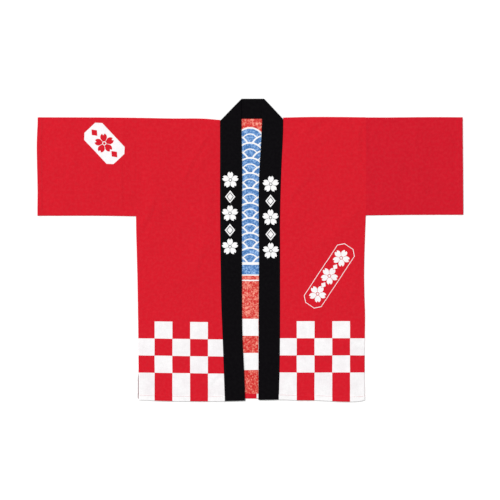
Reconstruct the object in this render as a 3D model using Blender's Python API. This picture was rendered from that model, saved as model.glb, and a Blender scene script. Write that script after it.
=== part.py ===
"""A happi coat laid flat on a table, front side up.

Units are metres. +X is to the right and +Y towards the collar as the coat is seen from above,
and +Z is up. The origin is on the table, under the middle of the coat.

Each piece that is cut and sewn on is one closed wall of cloth. The back lies on the table, the
two fronts and the collar lie on the back, and each sleeve is a flattened tube open at both ends.
"""

from collections import namedtuple
import math

import bmesh
import bpy
import numpy as np

# Cloth, and what lies on what
CLOTH = 0.0012
SEAM = 0.0003
BAND = 2 * CLOTH
ON_BACK = CLOTH + SEAM
ON_HEM = 2 * CLOTH + SEAM
ROLL = 0.0005
ROLL_REACH = 0.0015
AIR = 0.0010
AIR_EDGE = 0.045
CREASE_ANGLE = math.radians(40)

# Coat, as it lies: the tables below give how each edge wanders from these
SHOULDER_Y = 0.3990
HEM_Y = -0.4520
LENGTH = SHOULDER_Y - HEM_Y
CUFF_X = 0.6380
SLEEVE_LENGTH = 0.2970
ARMHOLE_Y = 0.2500

# Hems, turned to the inside
HEM_TURN = 0.0135
CUFF_TURN = 0.0120
BACK_TURN = 0.0150
TURN_STEP = 0.0020
BACK_HEM_Y = -0.4460
HEM_RISE_ROWS = (0.0600, 0.0300)
CUFF_RISE = 0.0300
BED_RISE_TOP = -0.3800
BED_RISE_END = -0.4150

# Collar band behind the neck, with its two slanting folds
NECK_TOP_Y = 0.4550
NECK_TURN_LEFT = (-0.02565, NECK_TOP_Y)
NECK_END_LEFT = (-0.08925, 0.38955)
NECK_TURN_RIGHT = (0.04245, NECK_TOP_Y)
NECK_END_RIGHT = (0.09915, 0.39435)
FOLD_RADIUS = (BAND + SEAM) / 2
FOLD_STEPS = 6
BAND_SETTLES_FROM = 0.3830
BAND_SETTLES_BY = 0.3200

# How finely each piece is divided
FRONT_COLUMNS = 12
FRONT_ROWS = 30
BACK_COLUMNS = 14
BACK_ROWS = 12
SLEEVE_STATIONS = 13
SLEEVE_UPPER = 12
SLEEVE_LOWER = 4
SLEEVE_TURN = 4
BAND_STATIONS = 30
BAND_COLUMNS = 3
NECK_STATIONS = (-0.060, -0.030, 0.0045, 0.039, 0.070)

Across = namedtuple("Across", "x y")
Body = namedtuple("Body", "y left right")
Cuffs = namedtuple("Cuffs", "y left right")
Bands = namedtuple("Bands", "y left_seam left_fold right_fold right_seam")
Fold = namedtuple("Fold", "x0 y0 x1 y1 width height")
Shade = namedtuple("Shade", "color roughness")

# The shoulder fold and the lower edges, from left to right
SHOULDER = (
    Across(x=-0.639, y=0.3995),
    Across(x=-0.341, y=0.3978),
    Across(x=-0.235, y=0.3957),
    Across(x=-0.125, y=0.3944),
    Across(x=-0.090, y=0.3911),
    Across(x=0.099, y=0.3984),
    Across(x=0.170, y=0.4001),
    Across(x=0.270, y=0.4001),
    Across(x=0.378, y=0.3989),
    Across(x=0.558, y=0.3999),
    Across(x=0.639, y=0.3995),
)
BACK_NECK = (
    Across(x=-0.125, y=0.3940),
    Across(x=-0.0900, y=0.3883),
    Across(x=-0.0300, y=0.3948),
    Across(x=0.0390, y=0.3948),
    Across(x=0.1000, y=0.3931),
    Across(x=0.1250, y=0.3985),
)
FRONT_HEM = (
    Across(x=-0.334, y=-0.4493),
    Across(x=-0.264, y=-0.4523),
    Across(x=-0.168, y=-0.4535),
    Across(x=-0.075, y=-0.4537),
    Across(x=0.086, y=-0.4481),
    Across(x=0.144, y=-0.4507),
    Across(x=0.200, y=-0.4508),
    Across(x=0.262, y=-0.4541),
    Across(x=0.290, y=-0.4550),
    Across(x=0.343, y=-0.4530),
)
BAND_HEM = (
    Across(x=-0.075, y=-0.4537),
    Across(x=-0.050, y=-0.4536),
    Across(x=-0.015, y=-0.4520),
    Across(x=0.024, y=-0.4487),
    Across(x=0.050, y=-0.4495),
    Across(x=0.088, y=-0.4477),
)
UNDERARM = (
    Across(x=-0.639, y=0.1040),
    Across(x=-0.390, y=0.1033),
    Across(x=-0.341, y=0.1022),
    Across(x=0.346, y=0.1049),
    Across(x=0.430, y=0.1062),
    Across(x=0.639, y=0.1070),
)

# Edges that run up and down the coat, from the hem to the collar
BODY = (
    Body(y=-0.455, left=-0.3338, right=0.3434),
    Body(y=-0.240, left=-0.3353, right=0.3443),
    Body(y=-0.200, left=-0.3358, right=0.3448),
    Body(y=-0.140, left=-0.3366, right=0.3430),
    Body(y=-0.070, left=-0.3380, right=0.3419),
    Body(y=0.000, left=-0.3398, right=0.3432),
    Body(y=0.050, left=-0.3412, right=0.3449),
    Body(y=0.102, left=-0.3418, right=0.3468),
    Body(y=0.400, left=-0.3412, right=0.3463),
)
CUFFS = (
    Cuffs(y=0.103, left=-0.6373, right=0.6390),
    Cuffs(y=0.175, left=-0.6365, right=0.6386),
    Cuffs(y=0.247, left=-0.6380, right=0.6380),
    Cuffs(y=0.320, left=-0.6390, right=0.6374),
    Cuffs(y=0.400, left=-0.6356, right=0.6370),
)
BANDS = (
    Bands(y=-0.455, left_seam=-0.0750, left_fold=-0.0143, right_fold=0.0250, right_seam=0.0858),
    Bands(y=-0.359, left_seam=-0.0783, left_fold=-0.0179, right_fold=0.0254, right_seam=0.0884),
    Bands(y=-0.269, left_seam=-0.0815, left_fold=-0.0224, right_fold=0.0258, right_seam=0.0895),
    Bands(y=-0.149, left_seam=-0.0860, left_fold=-0.0242, right_fold=0.0260, right_seam=0.0899),
    Bands(y=-0.029, left_seam=-0.0879, left_fold=-0.0244, right_fold=0.0268, right_seam=0.0899),
    Bands(y=0.121, left_seam=-0.0895, left_fold=-0.0246, right_fold=0.0257, right_seam=0.0903),
    Bands(y=0.211, left_seam=-0.0896, left_fold=-0.0236, right_fold=0.0266, right_seam=0.0926),
    Bands(y=0.271, left_seam=-0.0896, left_fold=-0.0240, right_fold=0.0296, right_seam=0.0950),
    Bands(y=0.331, left_seam=-0.0896, left_fold=-0.0250, right_fold=0.0332, right_seam=0.0980),
    Bands(y=0.391, left_seam=-0.0896, left_fold=-0.0262, right_fold=0.0362, right_seam=0.0992),
    Bands(y=0.455, left_seam=-0.0896, left_fold=-0.0257, right_fold=0.0400, right_seam=0.0992),
)

# The largest soft folds in the upper layer: a ridge from one point to another
FOLDS = (
    Fold(x0=-0.105, y0=0.350, x1=-0.200, y1=0.200, width=0.024, height=0.0024),
    Fold(x0=-0.275, y0=0.165, x1=-0.315, y1=0.050, width=0.022, height=0.0022),
    Fold(x0=-0.118, y0=0.225, x1=-0.122, y1=0.060, width=0.018, height=0.0016),
    Fold(x0=-0.120, y0=0.030, x1=-0.180, y1=-0.085, width=0.024, height=0.0020),
    Fold(x0=-0.250, y0=-0.060, x1=-0.205, y1=-0.260, width=0.034, height=0.0012),
    Fold(x0=0.250, y0=0.385, x1=0.150, y1=0.310, width=0.022, height=0.0022),
    Fold(x0=0.190, y0=0.270, x1=0.120, y1=0.090, width=0.024, height=0.0022),
    Fold(x0=0.315, y0=0.095, x1=0.185, y1=-0.010, width=0.026, height=0.0024),
    Fold(x0=0.160, y0=-0.090, x1=0.215, y1=-0.290, width=0.034, height=0.0012),
    Fold(x0=-0.383, y0=0.380, x1=-0.380, y1=0.150, width=0.018, height=0.0016),
    Fold(x0=-0.560, y0=0.360, x1=-0.470, y1=0.190, width=0.030, height=0.0014),
    Fold(x0=0.504, y0=0.385, x1=0.500, y1=0.150, width=0.020, height=0.0016),
    Fold(x0=0.410, y0=0.150, x1=0.450, y1=0.300, width=0.026, height=0.0014),
)

RED = Shade(color=(0.690, 0.015, 0.028, 1.0), roughness=0.85)
RED_INSIDE = Shade(color=(0.620, 0.130, 0.110, 1.0), roughness=0.85)
BLACK = Shade(color=(0.006, 0.005, 0.006, 1.0), roughness=0.80)


def clear_scene():
    """Remove every object that is already in the scene."""
    for item in list(bpy.data.objects):
        bpy.data.objects.remove(item, do_unlink=True)


def cloth_material(name, shade):
    """A plain dyed cotton."""
    material = bpy.data.materials.new(name)
    material.use_nodes = True
    shader = material.node_tree.nodes["Principled BSDF"]
    shader.inputs["Base Color"].default_value = shade.color
    shader.inputs["Roughness"].default_value = shade.roughness
    shader.inputs["Metallic"].default_value = 0.0
    return material


def read(table, key, column, at):
    """Read one column of a table at a place, on a smooth curve through its rows."""
    places = [getattr(row, key) for row in table]
    values = [getattr(row, column) for row in table]
    slopes = np.gradient(values, places)
    at = min(max(at, places[0]), places[-1])
    i = min(int(np.searchsorted(places, at, side="right")) - 1, len(places) - 2)
    span = places[i + 1] - places[i]
    s = (at - places[i]) / span
    start = values[i] * (1 + 2 * s) * (1 - s) ** 2 + slopes[i] * span * s * (1 - s) ** 2
    end = values[i + 1] * s * s * (3 - 2 * s) + slopes[i + 1] * span * s * s * (s - 1)
    return start + end


def mix(a, b, share):
    """The point or number that lies a share of the way from a to b."""
    return a + (b - a) * share


def ease(share):
    """A smooth step from 0 to 1, held at both ends."""
    share = min(max(share, 0.0), 1.0)
    return share * share * (3 - 2 * share)


def spread(count, *edges):
    """Evenly spaced shares from 0 to 1, with extra ones near the edges."""
    return sorted(set(float(v) for v in np.linspace(0, 1, count + 1)) | set(edges))


def fold_height(x, y):
    """Height that the soft folds add to the upper layer."""
    total = 0.0
    for fold in FOLDS:
        start = np.array((fold.x0, fold.y0))
        run = np.array((fold.x1, fold.y1)) - start
        along = float(np.dot(np.array((x, y)) - start, run) / np.dot(run, run))
        nearest = start + run * min(max(along, 0.0), 1.0)
        distance = math.dist((x, y), nearest)
        total += fold.height * math.exp(-(distance / fold.width) ** 2)
    return total


def lift(x, y, to_edge):
    """How far the upper layer stands off the lower one, flat at the piece's edges."""
    return (AIR + fold_height(x, y)) * ease(to_edge / AIR_EDGE)


def bed(y):
    """Height of the underside of whatever lies on the back, over its turned-up hem too."""
    risen = ease((BED_RISE_TOP - y) / (BED_RISE_TOP - BED_RISE_END))
    return mix(ON_BACK, ON_HEM, risen)


def add_wall(name, outer, inner, shade, tube=False):
    """One closed wall of cloth between two grids of points with the same rows and columns.

    A tube has rows that close on themselves and is open at its first and last row.
    """
    model = bmesh.new()
    grids = [[[model.verts.new(point) for point in row] for row in grid] for grid in (outer, inner)]
    rows = len(outer)
    columns = len(outer[0])
    last = columns if tube else columns - 1
    for grid in grids:
        for i in range(rows - 1):
            for j in range(last):
                k = (j + 1) % columns
                model.faces.new((grid[i][j], grid[i][k], grid[i + 1][k], grid[i + 1][j]))
    above, below = grids
    for i in (0, rows - 1):
        for j in range(last):
            k = (j + 1) % columns
            model.faces.new((above[i][j], above[i][k], below[i][k], below[i][j]))
    if not tube:
        for j in (0, columns - 1):
            for i in range(rows - 1):
                model.faces.new((above[i][j], above[i + 1][j], below[i + 1][j], below[i][j]))
    bmesh.ops.recalc_face_normals(model, faces=model.faces)
    mesh = bpy.data.meshes.new(name)
    model.to_mesh(mesh)
    model.free()
    mesh.materials.append(cloth_material(name, shade))
    mesh.shade_smooth()
    mesh.set_sharp_from_angle(angle=CREASE_ANGLE)
    item = bpy.data.objects.new(name, mesh)
    bpy.context.collection.objects.link(item)
    return item


def add_back():
    """The back panel, flat on the table, with its hem turned up onto its inside."""
    width = BODY[-1].right - BODY[-1].left
    corners = [(row.x - BODY[-1].left) / width for row in BACK_NECK]
    side_roll = ROLL_REACH / width
    shares = spread(BACK_COLUMNS, side_roll, 1 - side_roll, *corners)
    length = SHOULDER_Y - BACK_HEM_Y
    end_roll = ROLL_REACH / length
    turn_share = 1 - BACK_TURN / length
    step_share = 1 - (BACK_TURN + TURN_STEP) / length
    upper = []
    lower = []
    for down in spread(BACK_ROWS, end_roll, step_share, turn_share, 1 - end_roll):
        level = mix(SHOULDER_Y, BACK_HEM_Y, down)
        left = read(BODY, "y", "left", level)
        right = read(BODY, "y", "right", level)
        upper_row = []
        lower_row = []
        for share in shares:
            x = mix(left, right, share)
            y = mix(back_top(x), BACK_HEM_Y, down)
            at_rim = share in (0.0, 1.0) or down in (0.0, 1.0)
            thickness = 2 * CLOTH if down >= turn_share else CLOTH
            upper_row.append((x, y, thickness))
            lower_row.append((x, y, ROLL if at_rim else 0.0))
        upper.append(upper_row)
        lower.append(lower_row)
    return add_wall("back", upper, lower, RED_INSIDE)


def back_top(x):
    """Upper edge of the back: the shoulder fold, and the neck seam between the collar's folds."""
    if BACK_NECK[0].x < x < BACK_NECK[-1].x:
        return neck_seam(x)
    return read(SHOULDER, "x", "y", x)


def neck_seam(x):
    """Upper edge of the back along the neck, in straight runs between its corners."""
    return float(np.interp(x, [row.x for row in BACK_NECK], [row.y for row in BACK_NECK]))


def add_front(name, side, seam_column, outward):
    """A front panel on the back, from the side seam to the collar's seam."""
    turn_share = 1 - HEM_TURN / LENGTH
    above_hem = HEM_RISE_ROWS + (HEM_TURN + TURN_STEP, HEM_TURN, ROLL_REACH)
    rows = spread(FRONT_ROWS, ROLL_REACH / LENGTH, *(1 - height / LENGTH for height in above_hem))
    width = abs(BODY[0].left - BANDS[0].left_seam)
    shares = spread(FRONT_COLUMNS, ROLL_REACH / width)
    upper = []
    lower = []
    for down in rows:
        level = mix(SHOULDER_Y, HEM_Y, down)
        side_x = read(BODY, "y", side, level)
        seam_x = read(BANDS, "y", seam_column, level) + outward * SEAM
        upper_row = []
        lower_row = []
        for share in shares:
            x = mix(side_x, seam_x, share)
            y = mix(read(SHOULDER, "x", "y", x), read(FRONT_HEM, "x", "y", x), down)
            to_edge = min(abs(x - side_x), abs(x - seam_x), down * LENGTH, (1 - down) * LENGTH)
            z = bed(y) + lift(x, y, to_edge)
            rolled = share == 0.0 or down in (0.0, 1.0)
            thickness = 2 * CLOTH if down >= turn_share else CLOTH
            upper_row.append((x, y, z + thickness - (ROLL if rolled else 0.0)))
            lower_row.append((x, y, z))
        upper.append(upper_row)
        lower.append(lower_row)
    return add_wall(name, upper, lower, RED)


def sleeve_ring(top, bottom, thickness, inset):
    """One ring of a flattened tube, each point as y, z and whether it is on the upper layer."""
    height = 2 * thickness + SEAM
    middle = height / 2
    radius = middle - inset
    ring = []
    for share in np.linspace(0, 1, SLEEVE_LOWER + 1):
        ring.append((mix(bottom + middle, top - middle, share), inset, False))
    for k in range(1, SLEEVE_TURN):
        angle = math.pi * k / SLEEVE_TURN - math.pi / 2
        ring.append((top - middle + radius * math.cos(angle), middle + radius * math.sin(angle), False))
    for share in np.linspace(0, 1, SLEEVE_UPPER + 1):
        ring.append((mix(top - middle, bottom + middle, share), height - inset, True))
    for k in range(1, SLEEVE_TURN):
        angle = math.pi * k / SLEEVE_TURN - math.pi / 2
        ring.append((bottom + middle - radius * math.cos(angle), middle - radius * math.sin(angle), False))
    return ring


def add_sleeve(name, side, outward):
    """A sleeve folded along the shoulder line, a flattened tube from the armhole to the cuff."""
    turn_share = 1 - CUFF_TURN / SLEEVE_LENGTH
    before_cuff = (CUFF_RISE, CUFF_TURN + TURN_STEP, CUFF_TURN)
    stations = spread(SLEEVE_STATIONS, *(1 - reach / SLEEVE_LENGTH for reach in before_cuff))
    seam_x = read(BODY, "y", side, ARMHOLE_Y) + outward * SEAM
    outer = []
    inner = []
    for out in stations:
        level_x = mix(seam_x, outward * CUFF_X, out)
        top = read(SHOULDER, "x", "y", level_x)
        bottom = read(UNDERARM, "x", "y", level_x)
        thickness = 2 * CLOTH if out >= turn_share else CLOTH
        for rings, inset in ((outer, 0.0), (inner, thickness)):
            ring = []
            for y, z, lifted in sleeve_ring(top, bottom, thickness, inset):
                armhole = read(BODY, "y", side, y) + outward * SEAM
                x = mix(armhole, read(CUFFS, "y", side, y), out)
                if lifted:
                    along = min(out, 1 - out) * SLEEVE_LENGTH
                    to_edge = min(top - y, y - bottom, along)
                    z += lift(x, y, to_edge)
                ring.append((x, y, z))
            rings.append(ring)
    return add_wall(name, outer, inner, RED, tube=True)


def band_height(y):
    """Height of the underside of a front band, over the neck band or on the back."""
    over_neck = ease((y - BAND_SETTLES_BY) / (BAND_SETTLES_FROM - BAND_SETTLES_BY))
    return mix(bed(y), BAND + SEAM, over_neck)


def band_rows(fold_column, seam_column, turn, end):
    """Rows of one front band from its slanting fold down to the hem, as two faces."""
    hem_fold = read(BAND_HEM, "x", "y", read(BANDS, "y", fold_column, HEM_Y))
    hem_seam = read(BAND_HEM, "x", "y", read(BANDS, "y", seam_column, HEM_Y))
    first = fold_rows(turn, end, -math.pi / 2)
    start_fold = first[0][0][1]
    start_seam = first[0][-1][1]
    rows = []
    for step in range(1, BAND_STATIONS + 1):
        down = step / BAND_STATIONS
        fold_y = mix(start_fold, hem_fold, down)
        seam_y = mix(start_seam, hem_seam, down)
        fold_point = np.array((read(BANDS, "y", fold_column, fold_y), fold_y))
        seam_point = np.array((read(BANDS, "y", seam_column, seam_y), seam_y))
        outside = []
        inside = []
        for share in np.linspace(0, 1, BAND_COLUMNS + 1):
            x, y = mix(fold_point, seam_point, share)
            z = band_height(y)
            outside.append((x, y, z + BAND))
            inside.append((x, y, z))
        rows.append((outside, inside))
    return rows


def fold_rows(turn, end, angle):
    """One row across the band where it turns over a slanting fold, as its two faces."""
    turn = np.array(turn)
    end = np.array(end)
    along = (end - turn) / np.linalg.norm(end - turn)
    inward = np.array((-along[1], along[0]))
    if inward[1] > 0:
        inward = -inward
    reach = FOLD_RADIUS + BAND / 2
    faces = []
    for radius in (reach, FOLD_RADIUS - BAND / 2):
        face = []
        for share in np.linspace(0, 1, BAND_COLUMNS + 1):
            axis = mix(turn, end, share) + inward * reach - along * FOLD_RADIUS * angle
            x, y = axis - inward * radius * math.cos(angle)
            face.append((x, y, reach - radius * math.sin(angle)))
        faces.append(face)
    return tuple(faces)


def neck_rows(first, last):
    """Rows of the band behind the neck, inside face up, between its two slanting folds."""
    first_fold, first_seam = (np.array(first[0][column][:2]) for column in (0, -1))
    last_fold, last_seam = (np.array(last[0][column][:2]) for column in (0, -1))
    rows = []
    for seam_x in NECK_STATIONS:
        share = (seam_x - first_seam[0]) / (last_seam[0] - first_seam[0])
        fold_point = mix(first_fold, last_fold, share)
        seam_point = np.array((seam_x, neck_seam(seam_x) + SEAM))
        outside = []
        inside = []
        for across in np.linspace(0, 1, BAND_COLUMNS + 1):
            x, y = mix(fold_point, seam_point, across)
            outside.append((x, y, 0.0))
            inside.append((x, y, BAND))
        rows.append((outside, inside))
    return rows


def add_collar():
    """The collar: one doubled band from hem to hem, turned over a slanting fold at each shoulder."""
    left = band_rows("left_fold", "left_seam", NECK_TURN_LEFT, NECK_END_LEFT)
    right = band_rows("right_fold", "right_seam", NECK_TURN_RIGHT, NECK_END_RIGHT)
    angles = np.linspace(-math.pi / 2, math.pi / 2, FOLD_STEPS + 1)
    left_turn = [fold_rows(NECK_TURN_LEFT, NECK_END_LEFT, angle) for angle in angles]
    right_turn = [fold_rows(NECK_TURN_RIGHT, NECK_END_RIGHT, angle) for angle in angles]
    neck = neck_rows(left_turn[-1], right_turn[-1])
    rows = left[::-1] + left_turn + neck + right_turn[::-1] + right
    outside = [row[0] for row in rows]
    inside = [row[1] for row in rows]
    return add_wall("collar", outside, inside, BLACK)


def main():
    clear_scene()
    add_back()
    add_front("front_left", "left", "left_seam", -1)
    add_front("front_right", "right", "right_seam", 1)
    add_sleeve("sleeve_left", "left", -1)
    add_sleeve("sleeve_right", "right", 1)
    add_collar()


main()
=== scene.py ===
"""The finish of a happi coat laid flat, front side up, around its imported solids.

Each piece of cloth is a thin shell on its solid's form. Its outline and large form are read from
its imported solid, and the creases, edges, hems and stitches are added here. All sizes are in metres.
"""

from collections import namedtuple
import math

import bmesh
import bpy
import numpy as np
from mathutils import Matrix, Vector, noise
from mathutils.bvhtree import BVHTree


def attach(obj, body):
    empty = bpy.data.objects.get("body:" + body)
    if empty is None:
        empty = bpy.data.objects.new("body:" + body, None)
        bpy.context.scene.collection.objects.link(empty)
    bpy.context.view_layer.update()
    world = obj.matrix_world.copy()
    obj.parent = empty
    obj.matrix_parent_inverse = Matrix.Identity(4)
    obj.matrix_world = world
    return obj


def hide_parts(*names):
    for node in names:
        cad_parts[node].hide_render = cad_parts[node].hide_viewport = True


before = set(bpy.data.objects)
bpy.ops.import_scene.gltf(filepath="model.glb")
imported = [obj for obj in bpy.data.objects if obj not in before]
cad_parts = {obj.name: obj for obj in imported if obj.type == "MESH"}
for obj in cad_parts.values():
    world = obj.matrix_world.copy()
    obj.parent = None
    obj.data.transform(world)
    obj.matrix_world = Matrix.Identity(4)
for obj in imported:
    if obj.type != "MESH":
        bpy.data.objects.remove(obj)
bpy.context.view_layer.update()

Margins = namedtuple("Margins", "left right bottom top")
Checks = namedtuple("Checks", "x top slope first")
Plate = namedtuple("Plate", "x y angle length width corner")
Motifs = namedtuple("Motifs", "pitch count flower diamond lined")
Inks = namedtuple("Inks", "red blue white")

# Cloth and its seams
CLOTH = 0.0008
CLOTH_DROP = 0.00005
LOWEST_TOP = 0.0017
SEAM_REACH = 0.0030
SEAM_CLOSE = 0.00012
EDGE_INSET = CLOTH / 2 - SEAM_CLOSE
SIDE_DROP = 0.00065
ARMHOLE_DROP = 0.00006
ARMHOLE_CLOSE = 0.00025
ARMPIT_Y = 0.1034
ARMPIT_EASE = 0.006

# The cloth's own slight unevenness
RIPPLE = 0.00032
RIPPLE_SIZE = 0.045
BACK_RIPPLE = 0.5
BAND_RIPPLE = 0.6
SEEDS = {
    "front_left": 1.0, "front_right": 2.0, "back": 3.0,
    "sleeve_left": 4.0, "sleeve_right": 5.0, "collar": 7.0,
}

# Hems, whose right corner curls up, and cuffs
TURN_THICK = 0.9
HEM_TURN = 0.0172
HEM_RAISE = 0.0008
HEM_EASE = 0.0030
HEM_LIFT = 0.0018
CORNER_LIFT = 0.0034
CORNER_START = 0.3265
CORNER_RUN = 0.018
CUFF_TURN = 0.0140
CUFF_RAISE = 0.0009
CUFF_EASE = 0.0070

# The back's hem, and the strip of its side seam that shows beside the left front, with painted shade
# on that strip
BACK_LIFT = 0.0004
BACK_HEM_EASE = 0.0016
BACK_SEAM_RISE = 0.00035
BACK_SHOWS = 0.0021
BACK_SHOWS_EASE = 0.02
BACK_SHOWS_REACH = 0.004
SEAM_SIDE = -0.3330
SEAM_TOP = -0.3650

# Spacing of the points
SPACING = 0.0040
CLOSEST = 0.0003
ROUNDING = (0.0, 0.0005, 0.0012, 0.0020, 0.0030, 0.0045)
MARK_ROUNDING = (-0.0018, -0.0008, 0.0, 0.0008, 0.0018)
GRID_PASSES = 4
RIM_ANGLES = (45, 0, -45)
HALF_TURN = np.linspace(-math.pi / 2, math.pi / 2, 9)[1:-1]
SLEEVE_UNDER = np.linspace(0, 1, 40)
SLEEVE_FOLD = 0.002

# Reading the solids, clear of their turned edges
MAP_STEP = 0.0040
MAP_PASSES = 14
MAP_END = 1.001
OUTLINE_CUTS = 160
OUTLINE_MARGIN = 0.018
ABOVE = 0.1
FRONT_MARGINS = Margins(left=0.004, right=0.004, bottom=0.018, top=0.004)
BACK_MARGINS = Margins(left=0.004, right=0.004, bottom=0.020, top=0.004)
LEFT_SLEEVE_MARGINS = Margins(left=0.018, right=0.004, bottom=0.006, top=0.006)
RIGHT_SLEEVE_MARGINS = Margins(left=0.004, right=0.018, bottom=0.006, top=0.006)

# Collar band: its cloth, its way along each front, and behind the neck
COAT_MIDDLE = 0.005
BAND = 0.0020
BAND_PUFF = 0.0002
BAND_MIDDLE = BAND / 2 + BAND_PUFF
BAND_FOLD = BAND / 2
BAND_COLUMNS = 15
BAND_SEAM = 0.0062
BAND_SEAM_PLACES = np.array([0.0045, 0.0032, 0.0021, 0.0012, 0.0005, 0.0])
BAND_TUCK = 0.0008
BAND_STATIONS = 190
BAND_LENGTH = 0.86
BAND_LOW = 0.0075
BAND_TOP = 0.380
BAND_FOOT = -0.45
BAND_INSIDE = 0.001
BAND_LIFT = {"left": 0.0020, "right": 0.0008}
BAND_PINCH = 0.005
BAND_PINCHED = 0.80
BAND_TUCKED = 0.02
FOLD_RADIUS = 0.00135
FOLD_STEPS = 14
FOLD_LEVELS = np.linspace(0.405, 0.445, 9)
NECK_STATIONS = 34
NECK_TUCKED = 0.2
NECK_UNDER = 0.0025

# Stitches: how far inside their edges the rows lie, and each ring of a stitch by its share
# along, thickness and lift
STITCH_PITCH = 0.0034
STITCH_LENGTH = 0.0027
STITCH_RADIUS = 0.00027
STITCH_SIDES = 6
STITCH_RINGS = ((0.0, 0.35, -0.00015), (0.2, 1.0, 0.00008), (0.8, 1.0, 0.00008), (1.0, 0.35, -0.00015))
HEM_STITCHES = HEM_TURN - 0.0015
HEM_STITCH_ENDS = 0.002
HEM_STITCH_PLACES = 120
CUFF_STITCHES = CUFF_TURN - 0.0020
CUFF_STITCH_ENDS = 0.004
CUFF_STITCH_PLACES = 60
COLLAR_STITCHES = 0.0035
COLLAR_STITCH_TOP = 0.375
COLLAR_STITCH_SINK = 0.00010
COLLAR_STITCH_PLACES = 160

# Creases in millimetres, each a soft ridge, or a valley where its height is below 0, with a
# lower and wider one of the other kind along one side.
# Columns: x and y of its start, x and y of its end, bow of its middle sideways, width, height
CREASES = {
    "front_left": (
        (-102, 366, -208, 166, -5, 7.8, -1.0),
        (-270, 178, -333, 34, 9, 8.5, -1.2),
        (-327, 260, -325, 160, 1, 6.0, -0.7),
        (-264, 174, -228, 158, 1, 7.0, -0.6),
        (-94, 250, -103, 60, -8, 7.0, -0.5),
        (-120, 22, -164, -78, 4, 8.5, -0.8),
        (-330, 300, -240, 330, 6, 11.0, 0.4),
        (-150, -120, -260, -170, -6, 12.0, 0.4),
        (-300, -20, -265, -200, 10, 12.0, 0.4),
        (-82, -370, -120, -412, 0, 5.5, -0.9),
    ),
    "front_right": (
        (248, 394, 160, 320, -6, 11.0, -1.3),
        (196, 220, 115, 120, -6, 9.0, -1.0),
        (121, 132, 99, 40, -4, 9.0, -0.6),
        (326, 250, 327, 394, 1, 7.5, 1.1),
        (191, 119, 160, 105, 1, 8.0, -0.7),
        (336, 110, 268, 20, -8, 11.0, -0.6),
        (276, 26, 176, -10, -6, 11.0, -0.5),
        (240, 330, 200, 180, -6, 12.0, 0.4),
        (150, -60, 200, -190, 8, 12.0, 0.4),
        (300, -170, 330, -50, 6, 11.0, 0.4),
        (316, -380, 334, -428, 2, 8.0, -0.8),
    ),
    "sleeve_left": (
        (-380.2, 300, -379.5, 100, 1, 4.5, -0.9),
        (-352, 405, -350, 150, 2, 8.0, 0.4),
        (-610, 240, -480, 215, 6, 11.0, 0.4),
        (-520, 380, -560, 140, 8, 13.0, 0.5),
    ),
    "sleeve_right": (
        (355, 396, 356, 270, -1, 8.5, -1.3),
        (507, 398, 507, 250, -1, 5.0, -0.6),
        (586, 392, 622, 290, 3, 7.0, -0.8),
        (537, 224, 539, 156, 1, 9.5, -0.7),
        (392, 245, 392, 135, 2, 9.0, 0.6),
        (430, 120, 470, 330, 6, 12.0, 0.4),
    ),
    "back": (
        (-60, 260, 70, 215, 6, 9.0, 0.3),
        (-80, -20, 60, 40, -6, 10.0, 0.3),
        (-50, -240, 80, -215, 4, 10.0, 0.3),
    ),
    "underside": (
        (-240, 340, -120, 120, 12, 6.0, 0.30),
        (260, 330, 140, 190, -10, 6.5, 0.28),
        (310, 80, 150, -40, 10, 7.0, 0.30),
        (-310, 60, -210, -70, -8, 6.0, 0.26),
        (-80, -120, -40, -330, 6, 8.0, 0.22),
    ),
}
CREASE_FADE = 0.012
CREASE_TAPER = 0.3
ASIDE_PLACE = 1.7
ASIDE_WIDTH = 1.3
ASIDE_HEIGHT = 0.55

# The checks' first column and top row, the slope of the rows, and whether the first is white
CHECK = 0.0533
CHECK_ROW = 0.0513
CHECK_ROWS = 4
LEFT_CHECKS = Checks(x=-0.2862, top=-0.2128, slope=-0.013, first=0)
RIGHT_CHECKS = Checks(x=0.1399, top=-0.2120, slope=0.0, first=0)
BACK_CHECKS = Checks(x=0.0252, top=-0.2048, slope=0.0, first=1)
BACK_HEM_CHECKS = Checks(x=0.0197, top=-0.2048, slope=0.0, first=1)

# Plates, and the rows of motifs on them and down the collar
SLEEVE_PLATE = Plate(x=-0.4367, y=0.3210, angle=-47.0, length=0.128, width=0.074, corner=0.0148)
FRONT_PLATE = Plate(x=0.2377, y=-0.0762, angle=56.6, length=0.2125, width=0.0628, corner=0.0155)
PLATE_LINE = 0.0017
CORNER_GIVE = 0.4
SLEEVE_MOTIFS = Motifs(pitch=0.0880, count=1, flower=0.0300, diamond=0.0260, lined=False)
FRONT_MOTIFS = Motifs(pitch=0.0645, count=3, flower=0.0262, diamond=0.0190, lined=False)
COLLAR_MOTIFS = Motifs(pitch=0.1000, count=3, flower=0.0250, diamond=0.0380, lined=True)
COLLAR_PRINT_X = 0.0355
COLLAR_PRINT_Y = 0.1110
COLLAR_SHIFT = 0.0125
COLLAR_SHIFT_FROM = -0.014
COLLAR_SHIFT_RUN = 0.039

# Shape of a motif, with its lengths as shares of its size
PETALS = 5
PETAL_WAIST = 0.42
PETAL_FULLNESS = 0.62
PETAL_NOTCH = 0.16
NOTCH_FROM = 0.955
GAP_WIDTH = 0.16
GAP_TAPER = 0.10
FLOWER_RING = (0.13, 0.20)
DIAMOND_WIDTH = 0.8
DIAMOND_LINE = (0.55, 0.72)

# The back's print: wave scales with their white lines, and plain bands by their lower edges
WAVES_TOP = 0.3700
WAVES_FOOT = -0.0350
WAVES_SIDE = 0.2350
WAVE_RADIUS = 0.0450
WAVE_LINES = ((0.895, 2.0), (0.50, 0.575))
NO_SCALE = 9.0
BACK_BANDS = (
    (-0.0430, "white"), (-0.0720, "blue"), (-0.0760, "white"), (-0.0880, "red"), (-0.0920, "white"),
)

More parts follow.
